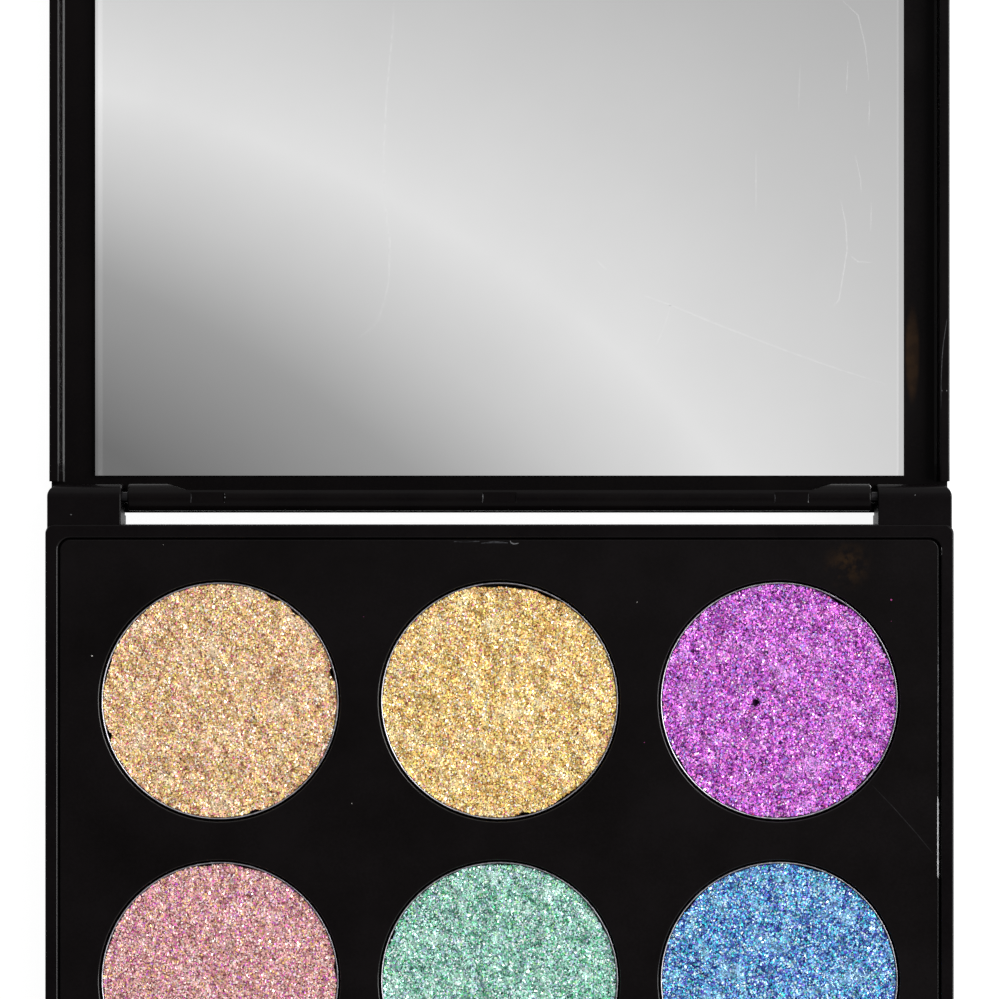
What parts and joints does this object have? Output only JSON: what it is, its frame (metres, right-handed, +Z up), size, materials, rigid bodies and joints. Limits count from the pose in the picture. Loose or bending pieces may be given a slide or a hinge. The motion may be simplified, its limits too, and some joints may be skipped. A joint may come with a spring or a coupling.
{
  "type": "eyeshadow palette",
  "caption": "Flat black plastic makeup palette with round pans of pressed glitter shadow in a well tray, and a hinged lid that carries a mirror and clicks shut over them.",
  "frame": {"origin": "middle of the flat face under the base, below the middle of the field of pans", "axes": "+X to the right along the hinge axis, +Y from the front catch to the hinge and on over the opened lid, +Z up from the table"},
  "size_m": [0.0996, 0.1471, 0.0075],
  "materials": {
    "black_plastic": "glossy moulded black",
    "tray_plastic": "glossy moulded black",
    "mirror_glass": "silvered glass",
    "tape": "double-sided tape",
    "pin_steel": "drawn wire",
    "pan_tin": "bright tinplate",
    "glue": "dried clear glue",
    "champagne_glitter": "pressed glitter",
    "gold_glitter": "pressed glitter",
    "purple_glitter": "pressed glitter",
    "rose_glitter": "pressed glitter",
    "mint_glitter": "pressed glitter",
    "blue_glitter": "pressed glitter"
  },
  "bodies": {
    "base": {"base_shell": "black_plastic", "pan_tray": "tray_plastic", "pan_back_left": "pan_tin", "pan_back_center": "pan_tin", "pan_back_right": "pan_tin", "pan_front_left": "pan_tin", "pan_front_center": "pan_tin", "pan_front_right": "pan_tin", "shadow_back_left": "champagne_glitter", "shadow_back_center": "gold_glitter", "shadow_back_right": "purple_glitter", "shadow_front_left": "rose_glitter", "shadow_front_center": "mint_glitter", "shadow_front_right": "blue_glitter", "glue_dot_back_left": "glue", "glue_dot_back_center": "glue", "glue_dot_back_right": "glue", "glue_dot_front_left": "glue", "glue_dot_front_center": "glue", "glue_dot_front_right": "glue", "hinge_pin_left": "pin_steel", "hinge_pin_right": "pin_steel"},
    "lid": {"lid_shell": "black_plastic", "mirror": "mirror_glass", "mirror_tape": "tape"}
  },
  "joints": [
    {"name": "lid_hinge", "type": "hinge", "parent": "base", "child": "lid", "pos_m": [0, 0.03768, 0.00577], "axis": [1, 0, 0], "range_deg": [0, 180]}
  ]
}
